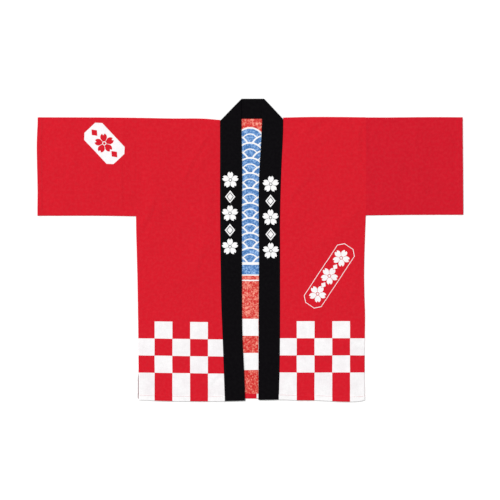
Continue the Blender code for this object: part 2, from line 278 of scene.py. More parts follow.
# Size and amount by which the prints and the yarns wander
PRINT_X_DRIFT = ((0.050, 0.0015), (0.0013, 0.0007))
PRINT_Y_DRIFT = ((0.060, 0.0015), (0.0011, 0.0007))
YARN_DRIFT = ((0.0050, 0.0003),)

# Yarns: the painted shade in the dips between them, the painted sheen of the upright ones on top, and
# how they roughen the cloth
YARN = 0.00045
WEAVE_PAINTED_SHADE = 0.16
WEAVE_PAINTED_DARKEST = 0.914
YARN_PAINTED_SHEEN = 0.04
BUMP = 0.55
BUMP_HEIGHT = 0.00013
FUZZ = (0.0007, 3.0, 0.6)
ROUGH_SIZE = 0.004
ROUGH_RANGE = 0.08

# Noises that make the colour uneven, and that let the inks come through to the unprinted side.
# Columns: size, detail, roughness, stretch across, stretch up, depth
DYE_LUMPS = (
    (0.0120, 3.0, 0.5, 1.0, 1.0, 1.0),
    (0.0700, 2.0, 0.5, 1.0, 1.0, 0.5),
    (0.0030, 2.0, 0.5, 7.0, 1.0, 0.8),
    (0.0030, 2.0, 0.5, 1.0, 7.0, 0.8),
    (0.0011, 1.0, 0.5, 1.0, 1.0, 1.0),
    (0.0005, 1.0, 0.5, 24.0, 1.0, 0.8),
    (0.0005, 1.0, 0.5, 1.0, 24.0, 0.8),
)
INK_LUMPS = (
    (0.0026, 3.0, 0.6, 3.0, 1.0, 0.32),
    (0.0026, 3.0, 0.6, 1.0, 3.0, 0.26),
    (0.0060, 2.0, 0.6, 1.0, 1.0, 0.24),
    (0.0160, 1.0, 0.5, 1.0, 1.0, 0.18),
    (0.0006, 2.0, 0.7, 1.0, 1.0, 0.10),
)
INK_START = -0.036
INK_WEAVE = -0.06
INK_ABOVE_CHECKS = 0.020
CHECKS_TOP = (-0.27, -0.23)
INK_THIN = (0.470, 0.580)

# Pale patches of a dye, and pink ones of the white that lies over a red layer
DYE_PATCHES = (0.0085, 3.0, 0.6)
DYE_PALE = (0.38, 0.66)
DYE_THIN = 0.0050
BLACK_THIN = 0.0012
WHITE_PATCHES = (0.045, 1.0)
WHITE_PINK = (0.35, 0.65)
WHITE_STREAKS = (0.006, 2.0, 0.5, 1.0, 9.0)
PATCH_SHARE = 0.6
LOW_PART = (-0.45, -0.22)
PINK_ABOVE = 0.5
HEM_TOP = (-0.4380, -0.4350)
PINK_DOUBLE = 0.15

# Colours, linear
RED = (0.566, 0.0052, 0.0160, 1.0)
# Painted shade: the right sleeve's red, darkened for the light's falloff to the right
RIGHT_SLEEVE_SHADED_RED = (0.528, 0.0040, 0.0158, 1.0)
WHITE = (0.818, 0.808, 0.812, 1.0)
WHITE_OVER_RED = (0.756, 0.714, 0.730, 1.0)
BLUE = (0.020, 0.105, 0.360, 1.0)
BLACK = (0.0016, 0.0011, 0.0019, 1.0)
# Painted shade: the back's red, darkened as if in the shadow of its side seam
SEAM_SHADOW_RED = (0.150, 0.007, 0.012, 1.0)
RED_BEHIND = (0.560, 0.024, 0.022, 1.0)
RED_THIN = (0.880, 0.340, 0.255, 1.0)
BLUE_BEHIND = (0.050, 0.160, 0.400, 1.0)
BLUE_THIN = (0.300, 0.480, 0.780, 1.0)
RED_THREAD = (0.55, 0.02, 0.035, 1.0)
BLACK_THREAD = (0.010, 0.009, 0.011, 1.0)
TABLE = (0.93, 0.93, 0.93, 1.0)

# Stage
TABLE_REACH = 12.0
TABLE_DROP = 0.0002
CAMERA_HEIGHT = 6.0
VIEW_WIDTH = 1.5
VIEW_X = -0.00015
VIEW_Y = 0.00135
SENSOR = 36.0
CLIP_END = 50.0
ROOM_LIGHT = 0.66
WINDOW = (-13.8, 13.2, 25.8)
WINDOW_SIZE = 12.0
WINDOW_POWER = 7470.0


def ease(share):
    """A smooth step from 0 to 1, held at both ends."""
    share = np.clip(share, 0.0, 1.0)
    return share * share * (3 - 2 * share)


def mix(a, b, share):
    """What lies a share of the way from a to b."""
    return a + (b - a) * share


def near_seam(distance):
    """1 at a seam, falling to 0 a little way from it."""
    return 1 - ease(distance / SEAM_REACH)


def doubled(distance, turn, run=HEM_EASE):
    """1 where an edge is turned in and double, by the distance from it, and 0 further in."""
    return ease((turn + run / 2 - distance) / run)


def steps(length, *marks):
    """Shares along a length, close together at both ends and round the marks."""
    places = list(ROUNDING) + [length - place for place in ROUNDING]
    places += [mark + offset for mark in marks for offset in MARK_ROUNDING]
    places += list(np.arange(ROUNDING[-1] + SPACING, length - ROUNDING[-1] - SPACING / 2, SPACING))
    kept = []
    for place in sorted(places):
        if not kept or place - kept[-1] > CLOSEST:
            kept.append(place)
    return np.array(kept) / length


class Solid:
    """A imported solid, read for its outline and for the height of its upper face."""

    def __init__(self, name):
        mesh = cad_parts[name].data
        self.points = np.array([vertex.co[:] for vertex in mesh.vertices])
        self.edges = np.array([edge.vertices[:] for edge in mesh.edges])
        faces = [face.vertices[:] for face in mesh.polygons]
        self.tree = BVHTree.FromPolygons([vertex.co for vertex in mesh.vertices], faces)
        self.low = self.points.min(0)
        self.high = self.points.max(0)

    def cut(self, axis, place):
        """Points where the plane at a place on an axis cuts the solid's edges."""
        start = self.points[self.edges[:, 0]]
        end = self.points[self.edges[:, 1]]
        before = start[:, axis] - place
        after = end[:, axis] - place
        crossed = before * after < 0
        share = (before[crossed] / (before[crossed] - after[crossed]))[:, None]
        return mix(start[crossed], end[crossed], share)

    def top(self, x, y):
        """Height of the upper face."""
        hit = self.tree.ray_cast(Vector((x, y, ABOVE)), Vector((0, 0, -1)))[0]
        return hit.z if hit else self.high[2]


class Panel:
    """A laid panel's four edges and mean size, and the height of its upper face."""

    def __init__(self, name, margins):
        self.name = name
        self.solid = Solid(name)
        low, high = self.solid.low, self.solid.high
        self.levels = np.linspace(low[1] + OUTLINE_MARGIN, high[1] - OUTLINE_MARGIN, OUTLINE_CUTS)
        self.places = np.linspace(low[0] + OUTLINE_MARGIN, high[0] - OUTLINE_MARGIN, OUTLINE_CUTS)
        across = [self.solid.cut(1, level)[:, 0] for level in self.levels]
        down = [self.solid.cut(0, place)[:, 1] for place in self.places]
        self.left = np.array([cut.min() for cut in across])
        self.right = np.array([cut.max() for cut in across])
        self.bottom = np.array([cut.min() for cut in down])
        self.top = np.array([cut.max() for cut in down])
        self.width = self.right.mean() - self.left.mean()
        self.length = self.top.mean() - self.bottom.mean()
        self.read_heights(margins)

    def sides(self, y):
        """The left and right edges at a height up the panel."""
        return np.interp(y, self.levels, self.left), np.interp(y, self.levels, self.right)

    def ends(self, x):
        """The bottom and top edges at a place across the panel."""
        return np.interp(x, self.places, self.bottom), np.interp(x, self.places, self.top)

    def edges(self, x, y):
        """Distances to the left, right, bottom and top edges."""
        left, right = self.sides(y)
        bottom, top = self.ends(x)
        return x - left, right - x, y - bottom, top - y

    def read_heights(self, margins):
        """Sample the upper face on an even grid, away from its turned edges, and smooth it."""
        low, high = self.solid.low, self.solid.high
        self.map_x = np.arange(low[0], high[0] + 2 * MAP_STEP, MAP_STEP)
        self.map_y = np.arange(low[1], high[1] + 2 * MAP_STEP, MAP_STEP)
        x, y = np.meshgrid(self.map_x, self.map_y)
        left, right = self.sides(y)
        bottom, top = self.ends(x)
        x = np.clip(x, left + margins.left, right - margins.right)
        y = np.clip(y, bottom + margins.bottom, top - margins.top)
        heights = np.array([self.solid.top(*point) for point in zip(x.ravel(), y.ravel())])
        heights = heights.reshape(x.shape)
        # Each turn smooths the rows and swaps them with the columns
        for _ in range(2 * MAP_PASSES):
            padded = np.pad(heights, ((1, 1), (0, 0)), "edge")
            heights = ((padded[:-2] + 2 * heights + padded[2:]) / 4).T
        self.heights = heights

    def height(self, x, y):
        """Height of the smoothed upper face."""
        i = np.clip((x - self.map_x[0]) / MAP_STEP, 0, len(self.map_x) - MAP_END)
        j = np.clip((y - self.map_y[0]) / MAP_STEP, 0, len(self.map_y) - MAP_END)
        i0 = i.astype(int)
        j0 = j.astype(int)
        lower = mix(self.heights[j0, i0], self.heights[j0, i0 + 1], i - i0)
        upper = mix(self.heights[j0 + 1, i0], self.heights[j0 + 1, i0 + 1], i - i0)
        return mix(lower, upper, j - j0)

    def cloth_top(self, x, y):
        """Height of the cloth on the panel, with its creases and unevenness."""
        fade = ease(np.minimum.reduce(self.edges(x, y)) / CREASE_FADE)
        relief = crease_height(CREASES[self.name], x, y) + ripple(self.name, x, y)
        return np.maximum(self.height(x, y) - CLOTH_DROP + relief * fade, LOWEST_TOP)

    def hemmed_top(self, x, y):
        """Height of the cloth on the panel, raised where its hem is turned up under it."""
        bottom = self.edges(x, y)[2]
        return self.cloth_top(x, y) + HEM_RAISE * doubled(bottom, HEM_TURN)

    def grid(self, across, down, extra_lift=0.0):
        """Points at shares across from the left edge and down from the top edge to the hem."""
        share_x, share_y = np.meshgrid(across, down)
        y = mix(self.solid.high[1], self.solid.low[1], share_y)
        for _ in range(GRID_PASSES):
            left, right = self.sides(y)
            x = mix(left + EDGE_INSET, right - EDGE_INSET, share_x)
            bottom, top = self.ends(x)
            y = mix(top - EDGE_INSET, bottom + EDGE_INSET + hem_lift(x) + extra_lift, share_y)
        return x, y


def hem_lift(x):
    """How far a hem lies above its solid's edge: more at the right corner, which curls up."""
    return HEM_LIFT + CORNER_LIFT * ease((x - CORNER_START) / CORNER_RUN)


def crease_height(creases, x, y):
    """Height that the creases add."""
    total = np.zeros_like(x)
    for crease in creases:
        x0, y0, x1, y1, bow, width, height = (value / 1000 for value in crease)
        run_x = x1 - x0
        run_y = y1 - y0
        length = math.hypot(run_x, run_y)
        along = ((x - x0) * run_x + (y - y0) * run_y) / length ** 2
        aside = ((y - y0) * run_x - (x - x0) * run_y) / length
        aside = aside - bow * 4 * along * (1 - along)
        taper = ease(along / CREASE_TAPER) * ease((1 - along) / CREASE_TAPER)
        ridge = np.exp(-((aside / width) ** 2))
        trough = np.exp(-(((aside + ASIDE_PLACE * width) / (ASIDE_WIDTH * width)) ** 2))
        total += height * taper * (ridge - ASIDE_HEIGHT * trough)
    return total


def ripple(name, x, y):
    """The cloth's own slight unevenness, different on each piece."""
    places = np.column_stack([x.ravel(), y.ravel()]) / RIPPLE_SIZE
    values = [noise.noise((a, b, SEEDS[name])) for a, b in places]
    return RIPPLE * np.array(values).reshape(x.shape)


def border_places(rows, columns):
    """Once round a grid's border, and the places just inside it."""
    places = [(0, j) for j in range(columns)]
    places += [(i, columns - 1) for i in range(1, rows)]
    places += [(rows - 1, j) for j in range(columns - 2, -1, -1)]
    places += [(i, 0) for i in range(rows - 2, 0, -1)]
    return np.array(places), np.clip(places, 1, (rows - 2, columns - 2))


def end_places(row, inside, columns):
    """Once round one open end of a tube, and the places just inside it."""
    return [np.array([(place, j) for j in range(columns)]) for place in (row, inside)]


def add_shell(name, outer, inner, uv, materials, outer_slot=0, inner_slot=1, tube=False):
    """A closed thin shell between two grids of points, with rounded edges.

    A tube's columns close on themselves. The slots are numbers, or arrays with one for each face.
    """
    rows, columns = outer.shape[:2]
    size = rows * columns
    wrap = columns if tube else columns - 1
    i, j = np.meshgrid(range(rows - 1), range(wrap), indexing="ij")
    first = i * columns + j
    second = i * columns + (j + 1) % columns
    quads = np.stack([first, second, second + columns, first + columns], -1).reshape(-1, 4)
    points = [outer.reshape(-1, 3), inner.reshape(-1, 3)]
    coords = [uv.reshape(-1, 2), uv.reshape(-1, 2)]
    faces = [quads, quads[:, ::-1] + size]
    slots = [np.broadcast_to(slot, (rows - 1, wrap)).ravel() for slot in (outer_slot, inner_slot)]
    loops = [border_places(rows, columns)]
    if tube:
        loops = [end_places(0, 1, columns), end_places(rows - 1, rows - 2, columns)]
    used = 2 * size
    for edge, inside in loops:
        at_edge = tuple(edge.T)
        above = outer[at_edge]
        below = inner[at_edge]
        outward = above - outer[tuple(inside.T)]
        outward /= np.linalg.norm(outward, axis=1)[:, None]
        middle = (above + below) / 2
        half = np.linalg.norm(above - below, axis=1)[:, None] / 2
        rings = [edge[:, 0] * columns + edge[:, 1]]
        for angle in np.radians(RIM_ANGLES):
            points.append(middle + (above - middle) * np.sin(angle) + outward * half * np.cos(angle))
            coords.append(uv[at_edge])
            rings.append(used + np.arange(len(edge)))
            used += len(edge)
        rings.append(rings[0] + size)
        for upper, lower in zip(rings, rings[1:]):
            faces.append(np.stack([upper, lower, np.roll(lower, -1), np.roll(upper, -1)], -1))
            slots.append(np.zeros(len(edge), int))
    points, faces, coords, slots = (np.concatenate(part) for part in (points, faces, coords, slots))
    return add_mesh(name, points, faces.tolist(), coords, slots, materials)


def add_object(name, data):
    """A new object in the scene."""
    item = bpy.data.objects.new(name, data)
    bpy.context.scene.collection.objects.link(item)
    return item


def add_mesh(name, points, faces, coords, slots, materials):
    """A smooth mesh object with its cloth coordinates, its faces pointing out."""
    mesh = bpy.data.meshes.new(name)
    mesh.from_pydata(points.tolist(), [], faces)
    for material in materials:
        mesh.materials.append(material)
    mesh.polygons.foreach_set("material_index", slots.astype(np.int32))
    layer = mesh.uv_layers.new(name="cloth")
    corners = np.zeros(len(mesh.loops), np.int32)
    mesh.loops.foreach_get("vertex_index", corners)
    layer.data.foreach_set("uv", coords[corners].astype(np.float32).ravel())
    model = bmesh.new()
    model.from_mesh(mesh)
    bmesh.ops.recalc_face_normals(model, faces=model.faces)
    model.to_mesh(mesh)
    model.free()
    mesh.shade_smooth()
    return add_object(name, mesh)


def operator(operation):
    """A method that adds a node for one sum."""

    def method(self, *others):
        return self.nodes.math(operation, self, *others)

    return method


class Value:
    """A number that a material's nodes work out. A comparison gives 1 or 0."""

    __add__ = __radd__ = operator("ADD")
    __mul__ = __rmul__ = operator("MULTIPLY")
    __sub__ = operator("SUBTRACT")
    __truediv__ = operator("DIVIDE")
    __pow__ = operator("POWER")
    __mod__ = operator("FLOORED_MODULO")
    __abs__ = operator("ABSOLUTE")
    __lt__ = operator("LESS_THAN")
    __gt__ = operator("GREATER_THAN")

    def __init__(self, nodes, socket):
        self.nodes = nodes
        self.socket = socket

    def __rsub__(self, other):
        return self.nodes.math("SUBTRACT", other, self)


class Nodes:
    """A material's nodes. Each method adds some and gives back their result."""

    def __init__(self, name):
        self.material = bpy.data.materials.new(name)
        self.material.use_nodes = True
        self.tree = self.material.node_tree
        self.shader = self.tree.nodes["Principled BSDF"]
        cloth = self.add("ShaderNodeUVMap")
        cloth.uv_map = "cloth"
        self.place = cloth.outputs["UV"]
        split = self.add("ShaderNodeSeparateXYZ")
        self.join(self.place, split.inputs[0])
        self.across = Value(self, split.outputs["X"])
        self.up = Value(self, split.outputs["Y"])
        self.print_x = self.unsteady(self.across, PRINT_X_DRIFT)
        self.print_y = self.unsteady(self.up, PRINT_Y_DRIFT)
        self.weave, self.yarns = self.plain_weave()

    def add(self, kind):
        return self.tree.nodes.new(kind)

    def join(self, value, socket):
        """Feed a socket with a node's result, or with a plain number or colour."""
        if isinstance(value, Value):
            value = value.socket
        if isinstance(value, bpy.types.NodeSocket):
            self.tree.links.new(value, socket)
        else:
            socket.default_value = value

    def math(self, operation, *values):
        node = self.add("ShaderNodeMath")
        node.operation = operation
        for value, socket in zip(values, node.inputs):
            self.join(value, socket)
        return Value(self, node.outputs[0])

    def step(self, value, low, high):
        """0 below low, 1 above high, and smooth between."""
        node = self.add("ShaderNodeMapRange")
        node.interpolation_type = "SMOOTHSTEP"
        self.join(value, node.inputs["Value"])
        node.inputs["From Min"].default_value = low
        node.inputs["From Max"].default_value = high
        return Value(self, node.outputs["Result"])

    def blend(self, share, a, b):
        """A colour between two."""
        node = self.add("ShaderNodeMix")
        node.data_type = "RGBA"
        colours = [socket for socket in node.inputs if socket.type == "RGBA"]
        self.join(share, node.inputs[0])
        self.join(a, colours[0])
        self.join(b, colours[1])
        return next(socket for socket in node.outputs if socket.type == "RGBA")

    def scale(self, colour, factor):
        """A colour made lighter or darker by a factor."""
        node = self.add("ShaderNodeVectorMath")
        node.operation = "SCALE"
        self.join(colour, node.inputs[0])
        self.join(factor, node.inputs["Scale"])
        return node.outputs[0]

    def noise(self, size, detail=2.0, roughness=0.5, across=1.0, up=1.0):
        """Noise from 0 to 1 whose lumps are about this size, stretched across or up."""
        node = self.add("ShaderNodeTexNoise")
        squeeze = self.add("ShaderNodeVectorMath")
        squeeze.operation = "MULTIPLY"
        self.join(self.place, squeeze.inputs[0])
        squeeze.inputs[1].default_value = (1 / across, 1 / up, 1.0)
        self.join(squeeze.outputs[0], node.inputs["Vector"])
        node.inputs["Scale"].default_value = 1 / size
        node.inputs["Detail"].default_value = detail
        node.inputs["Roughness"].default_value = roughness
        return Value(self, node.outputs["Fac"])

    def unsteady(self, value, shifts):
        """A coordinate that wanders, over a size and by an amount for each shift."""
        for size, amount in shifts:
            value = value + (self.noise(size) - 0.5) * amount
        return value

    def plain_weave(self):
        """Height of yarns that pass over and under each other, and which way each one runs."""
        waves = []
        for value in (self.across, self.up):
            waves.append(self.math("SINE", self.unsteady(value, YARN_DRIFT) * (math.pi / YARN)))
        over = waves[0] * waves[1] > 0.0
        warp, weft = (abs(wave) for wave in waves)
        upright = warp * (weft * 0.5 + 0.5)
        level = weft * (warp * 0.5 + 0.5)
        return level + (upright - level) * over, over


def distance(n, dx, dy):
    """Length of the way by dx and dy."""
    return n.math("SQRT", dx ** 2 + dy ** 2)


def between(value, low, high):
    """1 between two values, else 0."""
    return (value > low) * (value < high)


def about_one(value, depth):
    """A factor about 1, that a value from 0 to 1 moves by a depth."""
    return value * depth + (1 - depth / 2)


def flower(n, along, aside, size):
    """A plain flower: petals that meet at the middle, notched at their tips, round a ring."""
    reach = distance(n, along, aside) / size
    lobe = abs(n.math("COSINE", n.math("ARCTAN2", aside, along) * (PETALS / 2)))
    edge = lobe ** PETAL_FULLNESS * (1 - PETAL_WAIST) + PETAL_WAIST
    edge = edge - n.step(lobe, NOTCH_FROM, 1.0) * PETAL_NOTCH
    gap = (lobe < reach * -GAP_TAPER + GAP_WIDTH) * (reach > FLOWER_RING[1])
    cut = n.math("MAXIMUM", between(reach, *FLOWER_RING), gap)
    return (reach < edge) * (1.0 - cut)


def diamond(along, aside, length, lined):
    """A diamond, where lined with a thin diamond line cut out of it."""
    width = length * DIAMOND_WIDTH
    reach = abs(along) / (length / 2) + abs(aside) / (width / 2)
    inside = reach < 1.0
    return inside * (1.0 - between(reach, *DIAMOND_LINE)) if lined else inside


def motif_row(n, along, pitch, count, motif):
    """A motif repeated along a line about its middle."""
    place = along / pitch
    if count % 2 == 0:
        place = place + 0.5
    local = (place - n.math("ROUND", place)) * pitch
    return (abs(along) < pitch * count / 2) * motif(local)


def flowers_and_diamonds(n, along, aside, row):
    """Flowers in a row, with a diamond between each two and, round one flower, on both sides."""

    def blossom(local):
        return flower(n, local, aside, row.flower)

    def small(local):
        return diamond(local, aside, row.diamond, row.lined)

    flowers = motif_row(n, along, row.pitch, row.count, blossom)
    diamonds = motif_row(n, along, row.pitch, max(row.count - 1, 2), small)
    return n.math("MAXIMUM", flowers, diamonds)


def checks(n, layout):
    """Share of white in the two-colour checks, whose last row runs on to the hem."""
    x = n.print_x - layout.x
    y = n.print_y - x * layout.slope
    column = n.math("FLOOR", x / CHECK)
    down = (layout.top - y) / CHECK_ROW
    row = n.math("MINIMUM", n.math("FLOOR", down), CHECK_ROWS - 1)
    parity = (column + row + layout.first) % 2.0
    return (down > 0.0) * (parity < 0.5)


def plate_place(n, plate):
    """Coordinates along and across a tilted plate, from its middle."""
    c = math.cos(math.radians(plate.angle))
    s = math.sin(math.radians(plate.angle))
    dx = n.print_x - plate.x
    dy = n.print_y - plate.y
    return dx * c + dy * s, dy * c - dx * s


def plate_shape(along, aside, plate, inset=0.0):
    """Inside a plate with cut corners."""
    half_length = plate.length / 2 - inset
    half_width = plate.width / 2 - inset
    corner = half_length + half_width - plate.corner + inset * CORNER_GIVE
    a = abs(along)
    b = abs(aside)
    return (a < half_length) * (b < half_width) * (a + b < corner)


def waves(n):
    """Overlapping wave scales: the share of white in them, and where there are any."""
    rise = WAVE_RADIUS / 2
    pitch = 2 * WAVE_RADIUS
    height = n.print_y - (WAVES_TOP - WAVE_RADIUS)
    base = n.math("FLOOR", height / rise)
    ring = NO_SCALE
    for lower in (0.0, 1.0, 2.0):
        row = base - lower
        x = (n.print_x - row % 2.0 * WAVE_RADIUS) / pitch
        dx = (x - n.math("ROUND", x)) * pitch
        reach = distance(n, dx, height - row * rise) / WAVE_RADIUS
        front = (row < 0.5) * (reach < 1.0)
        ring = ring * (1.0 - front) + reach * front
    white = 0.0
    for line in WAVE_LINES:
        white = n.math("MAXIMUM", white, between(ring, *line))
    return white, ring < 2.0


def dyed(n, colour, thin=DYE_THIN):
    """A dye that took a little unevenly, paler in soft patches."""
    pale = tuple(value + thin for value in colour[:3]) + (1.0,)
    return n.blend(n.step(n.noise(*DYE_PATCHES), *DYE_PALE), colour, pale)


def white_over_red(n):
    """White ground, faintly pink in patches where the red layer under it shows. It is pinker and
    darker towards the hem, and hardly pink where the hem is turned up double."""
    patches = n.step(n.noise(*WHITE_PATCHES), *WHITE_PINK)
    uneven = patches * PATCH_SHARE + n.noise(*WHITE_STREAKS) * (1 - PATCH_SHARE)
    pink = 1.0 - n.step(n.up, *LOW_PART) * (1 - PINK_ABOVE)
    pink = pink * (n.step(n.up, *HEM_TOP) * (1 - PINK_DOUBLE) + PINK_DOUBLE)
    return n.blend(uneven * pink, WHITE, WHITE_OVER_RED)


def finish_cloth(n, colour, roughness=0.86, mottle=0.13, gloss=0.12, sheen=0.04):
    """Give a colour the unevenness, plain weave and soft sheen of cotton, with painted shade in
    the weave's dips and a painted sheen where the upright yarns lie on top.
    """
    # Painted shade where the weave is low, and painted sheen where the upright yarns are on top
    factor = (n.weave * WEAVE_PAINTED_SHADE + WEAVE_PAINTED_DARKEST) * about_one(n.yarns, YARN_PAINTED_SHEEN)
    for *lumps, depth in DYE_LUMPS:
        factor = factor * about_one(n.noise(*lumps), mottle * depth)
    n.join(n.scale(colour, factor), n.shader.inputs["Base Color"])
    bump = n.add("ShaderNodeBump")
    bump.inputs["Strength"].default_value = BUMP
    bump.inputs["Distance"].default_value = BUMP_HEIGHT
    n.join(n.weave + n.noise(*FUZZ), bump.inputs["Height"])
    n.join(bump.outputs["Normal"], n.shader.inputs["Normal"])
    rough = n.noise(ROUGH_SIZE) * ROUGH_RANGE + (roughness - ROUGH_RANGE / 2)
    n.join(rough, n.shader.inputs["Roughness"])
    n.shader.inputs["Specular IOR Level"].default_value = gloss
    n.shader.inputs["Sheen Weight"].default_value = sheen
    n.shader.inputs["Sheen Roughness"].default_value = 0.5
    return n.material


def soaked_inks(n):
    """The inks as they come through to the unprinted side, thin in blotches along the yarns and
    fuller among the checks."""
    total = n.step(n.up, *CHECKS_TOP) * INK_ABOVE_CHECKS + INK_START
    for *lumps, depth in INK_LUMPS:
        total = total + n.noise(*lumps) * depth
    share = n.step(total + n.weave * INK_WEAVE, *INK_THIN)
    red = n.blend(share, RED_BEHIND, RED_THIN)
    blue = n.blend(share, BLUE_BEHIND, BLUE_THIN)
    return Inks(red=red, blue=blue, white=WHITE)


def printed_inks(n):
    """The inks on the printed side."""
    return Inks(red=dyed(n, RED), blue=dyed(n, BLUE), white=WHITE)


def back_print(n, inks, layout):
    """The back's print: waves on red, plain bands below them, and checks at the hem. The strip of
    its red side seam is darkened with painted shade."""
    beside = abs(n.print_x) < WAVES_SIDE
    colour = n.blend(checks(n, layout), inks.red, inks.white)
    # Painted shade on the red side seam's strip, below SEAM_TOP and left of SEAM_SIDE
    seam = (n.across < SEAM_SIDE) * (n.up < SEAM_TOP)
    colour = n.blend(seam, colour, SEAM_SHADOW_RED)
    above = WAVES_FOOT
    for foot, shade in BACK_BANDS:
        colour = n.blend(between(n.print_y, foot, above) * beside, colour, getattr(inks, shade))
        above = foot
    white, inside = waves(n)
    share = inside * (n.print_y > WAVES_FOOT) * beside
    return n.blend(share, colour, n.blend(white, inks.blue, inks.white))


def plain_cloth(name, colour):
    """Cloth of one colour."""
    n = Nodes(name)
    return finish_cloth(n, dyed(n, colour))


def red_and_white(n, white):
    """Red cloth that is white in places."""
    return finish_cloth(n, n.blend(white, dyed(n, RED), white_over_red(n)))


def front_cloth(name, layout, plate=None):
    """Red with checks at the hem, and on one front a framed row of motifs."""
    n = Nodes(name)
    white = checks(n, layout)
    if plate:
        along, aside = plate_place(n, plate)
        line = plate_shape(along, aside, plate) - plate_shape(along, aside, plate, PLATE_LINE)
        motifs = flowers_and_diamonds(n, along, aside, FRONT_MOTIFS)
        white = n.math("MAXIMUM", white, n.math("MAXIMUM", line, motifs))
    return red_and_white(n, white)


def sleeve_cloth(name, plate):
    """Red with a white plate of red motifs."""
    n = Nodes(name)
    along, aside = plate_place(n, plate)
    motifs = flowers_and_diamonds(n, along, aside, SLEEVE_MOTIFS)
    return red_and_white(n, plate_shape(along, aside, plate) * (1.0 - motifs))


def inside_cloth(name, layout=None):
    """The unprinted side of the red cloth."""
    n = Nodes(name)
    inks = soaked_inks(n)
    white = checks(n, layout) if layout else 0.0
    return finish_cloth(n, n.blend(white, inks.red, inks.white))


def back_cloth(name, layout, inside=False):
    """The back's printed side, or its unprinted one."""
    n = Nodes(name)
    inks = soaked_inks(n) if inside else printed_inks(n)
    return finish_cloth(n, back_print(n, inks, layout))


def collar_cloth(name, printed):
    """Black cotton, with a column of white motifs down each front band."""
    n = Nodes(name)
    colour = dyed(n, BLACK, BLACK_THIN)
    if printed:
        along = n.print_y - COLLAR_PRINT_Y
        aside = n.print_x - COLLAR_PRINT_X
        colour = n.blend(flowers_and_diamonds(n, along, aside, COLLAR_MOTIFS), colour, WHITE)
    return finish_cloth(n, colour, mottle=0.10, gloss=0.06, sheen=0.0)


def thread(name, colour):
    """Twisted sewing thread."""
    n = Nodes(name)
    return finish_cloth(n, dyed(n, colour, BLACK_THIN), roughness=0.6)


def finish_piece(item, node=None):
    """Attach a piece to the root and, where it stands in for a solid, hide that solid."""
    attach(item, "root")
    if node:
        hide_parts(node)


def add_front(name, side_left, materials):
    """A front panel: printed outside, the other side under it, its hem turned up."""
    panel = Panel(name, FRONT_MARGINS)
    down = steps(panel.length - HEM_LIFT, panel.length - HEM_TURN)
    x, y = panel.grid(steps(panel.width), down)
    left, right, bottom, top = panel.edges(x, y)
    at_side = near_seam(left if side_left else right)
    outward = -1 if side_left else 1
    armhole = ease((y - ARMPIT_Y) / ARMPIT_EASE + 0.5)
    x = x + outward * ARMHOLE_CLOSE * armhole * at_side
    dip = np.maximum(mix(SIDE_DROP, ARMHOLE_DROP, armhole) * at_side, SIDE_DROP * near_seam(top))
    z = panel.hemmed_top(x, y) - dip
    thick = CLOTH + TURN_THICK * HEM_RAISE * doubled(bottom, HEM_TURN)
    outer = np.stack([x, y, z], -1)
    inner = np.stack([x, y, z - thick], -1)
    item = add_shell(name + "_cloth", outer, inner, outer[..., :2], materials)
    finish_piece(item, name)
    return panel, panel.hemmed_top


def add_back(materials):
    """The back panel: its inside up, its printed side on the table, its hem turned up."""
    panel = Panel("back", BACK_MARGINS)
    down = steps(panel.length - (HEM_LIFT + BACK_LIFT), panel.length - HEM_TURN)
    x, y = panel.grid(steps(panel.width), down, BACK_LIFT)
    left, right, bottom, top = panel.edges(x, y)
    x = x - BACK_SHOWS * ease((SEAM_TOP - y) / BACK_SHOWS_EASE) * (1 - ease(left / BACK_SHOWS_REACH))
    side = np.minimum.reduce([left, right, top])
    fade = ease(np.minimum(side, bottom) / CREASE_FADE)
    rise = BACK_SEAM_RISE * near_seam(side)
    hem = HEM_RAISE * doubled(bottom, HEM_TURN, BACK_HEM_EASE)
    relief = crease_height(CREASES["back"], x, y) + BACK_RIPPLE * ripple("back", x, y)
    upper = rise + CLOTH + relief * fade + hem
    under = rise + crease_height(CREASES["underside"], x, y).clip(0) * fade
    outer = np.stack([x, y, upper], -1)
    inner = np.stack([x, y, under], -1)
    slots = 1 + (bottom[:-1, :-1] < HEM_TURN).astype(int)
    item = add_shell("back_cloth", outer, inner, outer[..., :2], materials, slots, inner_slot=0)
    finish_piece(item, "back")

    def height(at_x, at_y):
        return CLOTH + HEM_RAISE * doubled(at_y - panel.ends(at_x)[0], HEM_TURN, BACK_HEM_EASE)

    return panel, height


